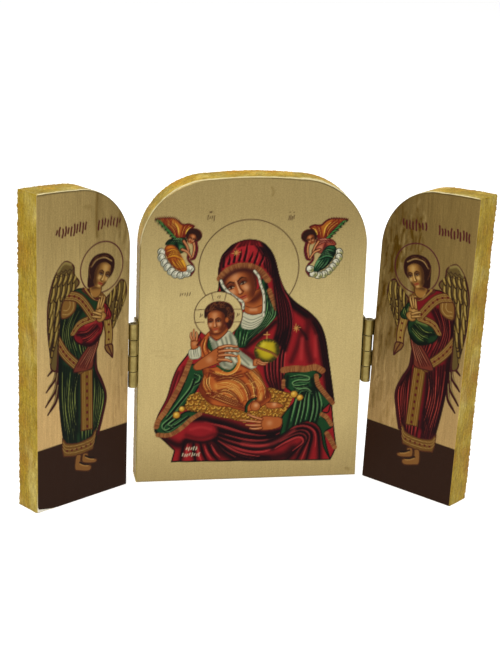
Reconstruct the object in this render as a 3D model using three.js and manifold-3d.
// A small standing triptych: an arched wooden panel with two half-width wings,
// each hung on one brass butt hinge, and a printed foil sheet glued on every front face.
// Units are millimetres, +Z is up and the pictures face -Y.
// The origin is the middle of the centre panel's underside.

import * as THREE from "three";
import { mergeVertices } from "three/addons/utils/BufferGeometryUtils.js";
import Module from "manifold-3d";

// Boards
const PANEL_WIDTH = 86;
const PANEL_HEIGHT = 120;
const BOARD_THICKNESS = 11.6;
const SHOULDER_RADIUS = 26.5;
const WING_SHOULDER_RADIUS = 25;
const TOP_CAMBER = 0.8;
const WINGS_PARTING = 0.7;

// How far the hand-sawn edges are off square over a board's height
const CENTRE_RIGHT_LEAN = 1.3;
const RIGHT_WING_INNER_LEAN = 2.5;
const RIGHT_WING_OUTER_LEAN = 2.5;
const LEFT_WING_OUTER_LEAN = 0.4;

// Printed foil sheets
const SHEET_THICKNESS = 0.2;
const SHEET_INSET = 0.2;
const GLUE_LINE = 0.1;
const WORN_CORNER = 2.4;

// Hinges
const BOARD_GAP = 4;
const CLOSED_FACE_CLEARANCE = 0.1;
const LEFT_OPEN_DEG = 34;
const RIGHT_OPEN_DEG = 50;
const HINGE_LENGTH = 25;
const HINGE_MIDDLE_HEIGHT = 52;
const KNUCKLES = 4;
const KNUCKLE_GAP = 0.3;
const BARREL_RADIUS = 1.7;
const PIN_RADIUS = 0.75;
const PIN_CLEARANCE = 0.1;
const LEAF_THICKNESS = 0.8;
const LEAF_SEAT_GAP = 0.2;
const LEAF_DEPTH = 9;
const LEAF_CORNER_RADIUS = 1.6;
const BARREL_CLEARANCE = 0.3;

// Nails
const NAILS_PER_LEAF = 2;
const NAIL_SPACING = 14;
const NAIL_SETBACK = 5.6;
const NAIL_SHANK_RADIUS = 0.6;
const NAIL_HEAD_RADIUS = 1.3;
const NAIL_HEAD_HEIGHT = 0.5;
const NAIL_LENGTH = 7;
const NAIL_POINT_LENGTH = 1.6;
const NAIL_CLEARANCE = 0.15;
const HEAD_SEAT_GAP = 0.08;

// Facets
const ROUND_SEGMENTS = 32;
const CORNER_SEGMENTS = 12;

// Worked-out places
const FRONT_Y = -BOARD_THICKNESS / 2;
const AXIS_OFFSET = BOARD_GAP / 2;
const AXIS_PROUD = GLUE_LINE + SHEET_THICKNESS + CLOSED_FACE_CLEARANCE;
const AXIS_X = PANEL_WIDTH / 2 + AXIS_OFFSET;
const AXIS_Y = FRONT_Y - AXIS_PROUD;
const WING_WIDTH = (PANEL_WIDTH - WINGS_PARTING) / 2;
const SPRING_HEIGHT = PANEL_HEIGHT - TOP_CAMBER - SHOULDER_RADIUS;
const WING_SPRING_HEIGHT = PANEL_HEIGHT - TOP_CAMBER - WING_SHOULDER_RADIUS;
const LEAF_FACE = AXIS_OFFSET - LEAF_SEAT_GAP - LEAF_THICKNESS;
const KNUCKLE_PITCH = HINGE_LENGTH / KNUCKLES;
const HINGE_FOOT = HINGE_MIDDLE_HEIGHT - HINGE_LENGTH / 2;

const wasm = await Module();
wasm.setup();

const gildedPaint = new THREE.MeshStandardMaterial({ color: 0xb3953f, roughness: 0.65, metalness: 0.1 });
const printedFoil = new THREE.MeshStandardMaterial({ color: 0xc2ab72, roughness: 0.35, metalness: 0.8 });
const hingeBrass = new THREE.MeshStandardMaterial({ color: 0xa3935a, roughness: 0.35, metalness: 1 });

// A closed three.js geometry as a solid that can be joined and cut.
function solidOf(geometry) {
  const bare = geometry.clone();
  bare.deleteAttribute("normal");
  bare.deleteAttribute("uv");
  const merged = mergeVertices(bare, 1e-4);
  return new wasm.Manifold(
    new wasm.Mesh({
      numProp: 3,
      vertProperties: new Float32Array(merged.attributes.position.array),
      triVerts: new Uint32Array(merged.index.array),
    }),
  );
}

function geometryOf(solid) {
  const made = solid.getMesh();
  const geometry = new THREE.BufferGeometry();
  geometry.setAttribute("position", new THREE.BufferAttribute(new Float32Array(made.vertProperties), 3));
  geometry.setIndex(new THREE.BufferAttribute(new Uint32Array(made.triVerts), 1));
  geometry.computeVertexNormals();
  return geometry;
}

function part(name, geometry, material) {
  const mesh = new THREE.Mesh(geometry, material);
  mesh.name = name;
  return mesh;
}

// How far a leaning edge has gone at height z. It is true where the hinge's foot is, so its leaf stays clear.
function leanAt(z, lean) {
  return (lean * (z - HINGE_FOOT)) / PANEL_HEIGHT;
}

// Draws the crown of an arch from x = from to x = to: a parabola, at full height at middle and lower by
// TOP_CAMBER at reach from it. side mirrors it, and drop lowers it.
function drawCrown(shape, from, to, { middle, reach, side = 1, drop = 0 }) {
  const height = (x) => PANEL_HEIGHT - drop - TOP_CAMBER * ((x - middle) / reach) ** 2;
  const slope = (-2 * TOP_CAMBER * (from - middle)) / reach ** 2;
  const controlX = (from + to) / 2;
  shape.quadraticCurveTo(side * controlX, height(from) + slope * (controlX - from), side * to, height(to));
}

// The centre board's front outline, taken in by inset all round.
function centreOutline(inset = 0) {
  const half = PANEL_WIDTH / 2 - inset;
  const radius = SHOULDER_RADIUS - inset;
  const rightEdge = (z) => half - leanAt(z, CENTRE_RIGHT_LEAN);
  const rightShoulder = rightEdge(SPRING_HEIGHT) - radius;
  const leftShoulder = radius - half;
  const middle = (leftShoulder + rightShoulder) / 2;
  const shape = new THREE.Shape();
  shape.moveTo(-half, inset);
  shape.lineTo(rightEdge(0), inset);
  shape.lineTo(rightEdge(SPRING_HEIGHT), SPRING_HEIGHT);
  shape.absarc(rightShoulder, SPRING_HEIGHT, radius, 0, Math.PI / 2, false);
  drawCrown(shape, rightShoulder, leftShoulder, { middle, reach: rightShoulder - middle, drop: inset });
  shape.absarc(leftShoulder, SPRING_HEIGHT, radius, Math.PI / 2, Math.PI, false);
  shape.closePath();
  return shape;
}

// A wing's front outline, half an arch. Its hinge edge is at x = side * AXIS_OFFSET at the hinge's foot, and
// its outer edge is the arch's middle. worn cuts the lower outer corner of a sheet round.
function wingOutline(side, { inner, outer }, inset = 0, worn = 0) {
  const hingeEdge = (z) => AXIS_OFFSET + inset + leanAt(z, inner);
  const outerEdge = AXIS_OFFSET + WING_WIDTH - inset;
  const outerFoot = outerEdge - outer;
  const middle = AXIS_OFFSET + PANEL_WIDTH / 2;
  const radius = WING_SHOULDER_RADIUS - inset;
  const shoulder = hingeEdge(WING_SPRING_HEIGHT) + radius;
  const reach = middle - shoulder;
  const outerTop = PANEL_HEIGHT - inset - TOP_CAMBER * ((outerEdge - middle) / reach) ** 2;
  const shape = new THREE.Shape();
  shape.moveTo(side * hingeEdge(0), inset);
  shape.lineTo(side * (outerFoot - worn), inset);
  if (worn > 0) {
    shape.quadraticCurveTo(side * outerFoot, inset, side * outerFoot, inset + worn);
  }
  shape.lineTo(side * outerEdge, outerTop);
  drawCrown(shape, outerEdge, shoulder, { middle, reach, side, drop: inset });
  const end = side > 0 ? Math.PI : 0;
  shape.absarc(side * shoulder, WING_SPRING_HEIGHT, radius, Math.PI / 2, end, side < 0);
  shape.closePath();
  return shape;
}

// An outline drawn in X and Z, made a board whose front face is at frontY.
function board(outline, thickness, frontY) {
  const geometry = new THREE.ExtrudeGeometry(outline, {
    depth: thickness,
    bevelEnabled: false,
    curveSegments: CORNER_SEGMENTS,
  });
  return geometry.rotateX(Math.PI / 2).translate(0, frontY + thickness, 0);
}

// A round bar from (x0, 0, 0) to (x1, 0, 0).
function barAlongX(radius, x0, x1) {
  const bar = new THREE.CylinderGeometry(radius, radius, Math.abs(x1 - x0), ROUND_SEGMENTS);
  return bar.rotateZ(Math.PI / 2).translate((x0 + x1) / 2, 0, 0);
}

// Heights of the nails in every leaf.
function nailHeights() {
  return Array.from(
    { length: NAILS_PER_LEAF },
    (_, i) => HINGE_MIDDLE_HEIGHT + (i - (NAILS_PER_LEAF - 1) / 2) * NAIL_SPACING,
  );
}

// Drills a board for the nails of a leaf. The hinge axis is at axisX, axisY, and the board lies on the
// side given.
function drillForNails(solid, side, axisX, axisY) {
  const mouth = LEAF_FACE;
  const bottom = LEAF_FACE + NAIL_LENGTH + NAIL_CLEARANCE;
  return nailHeights().reduce((left, z) => {
    const hole = barAlongX(NAIL_SHANK_RADIUS + NAIL_CLEARANCE, side * mouth, side * bottom);
    return left.subtract(solidOf(hole.translate(axisX, axisY + NAIL_SETBACK, z)));
  }, solid);
}

// The plate of a leaf, drawn in depth behind the axis and height: full depth behind the barrel,
// with a tab forward to each knuckle that belongs to it.
function leafPlate(ownKnuckles) {
  const barrelBack = BARREL_RADIUS + BARREL_CLEARANCE;
  const top = HINGE_FOOT + HINGE_LENGTH;
  const shape = new THREE.Shape();
  const corner = LEAF_CORNER_RADIUS;
  shape.moveTo(barrelBack, HINGE_FOOT);
  shape.lineTo(LEAF_DEPTH - corner, HINGE_FOOT);
  shape.absarc(LEAF_DEPTH - corner, HINGE_FOOT + corner, corner, -Math.PI / 2, 0);
  shape.absarc(LEAF_DEPTH - corner, top - corner, corner, 0, Math.PI / 2);
  shape.lineTo(barrelBack, top);
  for (const [low, high] of ownKnuckles.toReversed()) {
    if (high < top) shape.lineTo(barrelBack, high);
    shape.lineTo(0, high);
    shape.lineTo(0, low);
    if (low > HINGE_FOOT) shape.lineTo(barrelBack, low);
  }
  shape.closePath();
  for (const z of nailHeights()) {
    const hole = new THREE.Path();
    hole.absarc(NAIL_SETBACK, z, NAIL_SHANK_RADIUS + NAIL_CLEARANCE, 0, 2 * Math.PI);
    shape.holes.push(hole);
  }
  const plate = new THREE.ExtrudeGeometry(shape, {
    depth: LEAF_THICKNESS,
    bevelEnabled: false,
    curveSegments: CORNER_SEGMENTS,
  });
  const depthAxis = new THREE.Vector3(0, 1, 0);
  const heightAxis = new THREE.Vector3(0, 0, 1);
  const thicknessAxis = new THREE.Vector3(1, 0, 0);
  return plate.applyMatrix4(new THREE.Matrix4().makeBasis(depthAxis, heightAxis, thicknessAxis));
}

// A round bar up the hinge axis from low to high.
function barAlongZ(radius, low, high) {
  const bar = new THREE.CylinderGeometry(radius, radius, high - low, ROUND_SEGMENTS);
  return bar.rotateX(Math.PI / 2).translate(0, 0, (low + high) / 2);
}

// Low and high ends of the knuckles that a leaf owns. first is 0 for the leaf with the lowest knuckle, or 1.
function knuckleSpans(first) {
  const spans = [];
  for (let i = first; i < KNUCKLES; i += 2) {
    const low = HINGE_FOOT + i * KNUCKLE_PITCH + (i > 0 ? KNUCKLE_GAP / 2 : 0);
    const high = HINGE_FOOT + (i + 1) * KNUCKLE_PITCH - (i < KNUCKLES - 1 ? KNUCKLE_GAP / 2 : 0);
    spans.push([low, high]);
  }
  return spans;
}

// A leaf round the axis at the origin, lying along the board edge on the side given.
function leaf(side, first) {
  const spans = knuckleSpans(first);
  const inner = side > 0 ? LEAF_FACE : -LEAF_FACE - LEAF_THICKNESS;
  const plate = solidOf(leafPlate(spans).translate(inner, 0, 0));
  const knuckles = spans.map(([low, high]) => solidOf(barAlongZ(BARREL_RADIUS, low, high)));
  const joined = knuckles.reduce((all, knuckle) => all.add(knuckle), plate);
  const boreLow = HINGE_FOOT - HINGE_LENGTH;
  const boreHigh = HINGE_FOOT + 2 * HINGE_LENGTH;
  return geometryOf(joined.subtract(solidOf(barAlongZ(PIN_RADIUS + PIN_CLEARANCE, boreLow, boreHigh))));
}

// The pin round the axis at the origin, with slightly domed ends.
function hingePin() {
  const dome = PIN_RADIUS / 3;
  const low = HINGE_FOOT;
  const high = HINGE_FOOT + HINGE_LENGTH;
  const profile = [
    [0, low],
    [PIN_RADIUS * 0.7, low + dome / 2],
    [PIN_RADIUS, low + dome],
    [PIN_RADIUS, high - dome],
    [PIN_RADIUS * 0.7, high - dome / 2],
    [0, high],
  ];
  const points = profile.map(([r, z]) => new THREE.Vector2(r, z));
  return new THREE.LatheGeometry(points, ROUND_SEGMENTS).rotateX(Math.PI / 2);
}

// A round-headed nail pointing away from the axis, its head on the leaf's face.
function nail(side) {
  const seat = LEAF_FACE - HEAD_SEAT_GAP;
  const tip = LEAF_FACE + NAIL_LENGTH;
  const profile = [
    [0, seat - NAIL_HEAD_HEIGHT],
    [NAIL_HEAD_RADIUS * 0.6, seat - NAIL_HEAD_HEIGHT * 0.85],
    [NAIL_HEAD_RADIUS * 0.92, seat - NAIL_HEAD_HEIGHT * 0.45],
    [NAIL_HEAD_RADIUS, seat],
    [NAIL_SHANK_RADIUS, seat],
    [NAIL_SHANK_RADIUS, tip - NAIL_POINT_LENGTH],
    [0, tip],
  ];
  const points = profile.map(([r, x]) => new THREE.Vector2(r, x));
  const turned = new THREE.LatheGeometry(points, ROUND_SEGMENTS / 2);
  return turned.rotateZ((-side * Math.PI) / 2);
}

// Adds the nails of one leaf to group, round an axis at x, y.
function addNails(group, name, side, x, y) {
  nailHeights().forEach((z, i) => {
    const made = part(`${name}_nail_${i + 1}`, nail(side), hingeBrass);
    made.position.set(x, y + NAIL_SETBACK, z);
    group.add(made);
  });
}

function centrePanel() {
  const group = new THREE.Group();
  let wood = solidOf(board(centreOutline(), BOARD_THICKNESS, FRONT_Y));
  for (const side of [-1, 1]) {
    wood = drillForNails(wood, -side, side * AXIS_X, AXIS_Y);
  }
  group.add(part("centre_panel", geometryOf(wood), gildedPaint));
  const sheetFront = FRONT_Y - GLUE_LINE - SHEET_THICKNESS;
  const sheet = board(centreOutline(SHEET_INSET), SHEET_THICKNESS, sheetFront);
  group.add(part("centre_picture", sheet, printedFoil));
  for (const [side, word] of [[-1, "left"], [1, "right"]]) {
    const fixedLeaf = part(`${word}_hinge_centre_leaf`, leaf(-side, 0), hingeBrass);
    fixedLeaf.position.set(side * AXIS_X, AXIS_Y, 0);
    const pin = part(`${word}_hinge_pin`, hingePin(), hingeBrass);
    pin.position.set(side * AXIS_X, AXIS_Y, 0);
    group.add(fixedLeaf, pin);
    addNails(group, `${word}_hinge_centre_leaf`, -side, side * AXIS_X, AXIS_Y);
  }
  return group;
}

// A wing, built round its hinge axis and turned forward from flat by openDeg.
function wing(side, word, openDeg, leans, worn) {
  const group = new THREE.Group();
  const plain = solidOf(board(wingOutline(side, leans), BOARD_THICKNESS, AXIS_PROUD));
  group.add(part(`${word}_wing_panel`, geometryOf(drillForNails(plain, side, 0, 0)), gildedPaint));
  const sheet = board(
    wingOutline(side, leans, SHEET_INSET, worn),
    SHEET_THICKNESS,
    AXIS_PROUD - GLUE_LINE - SHEET_THICKNESS,
  );
  group.add(part(`${word}_wing_picture`, sheet, printedFoil));
  group.add(part(`${word}_hinge_wing_leaf`, leaf(side, 1), hingeBrass));
  addNails(group, `${word}_hinge_wing_leaf`, side, 0, 0);
  group.position.set(side * AXIS_X, AXIS_Y, 0);
  group.rotation.z = THREE.MathUtils.degToRad(-side * openDeg);
  return group;
}

const triptych = new THREE.Group();
triptych.add(
  centrePanel(),
  wing(-1, "left", LEFT_OPEN_DEG, { inner: 0, outer: LEFT_WING_OUTER_LEAN }, WORN_CORNER),
  wing(1, "right", RIGHT_OPEN_DEG, { inner: RIGHT_WING_INNER_LEAN, outer: RIGHT_WING_OUTER_LEAN }, 0),
);

export default triptych;
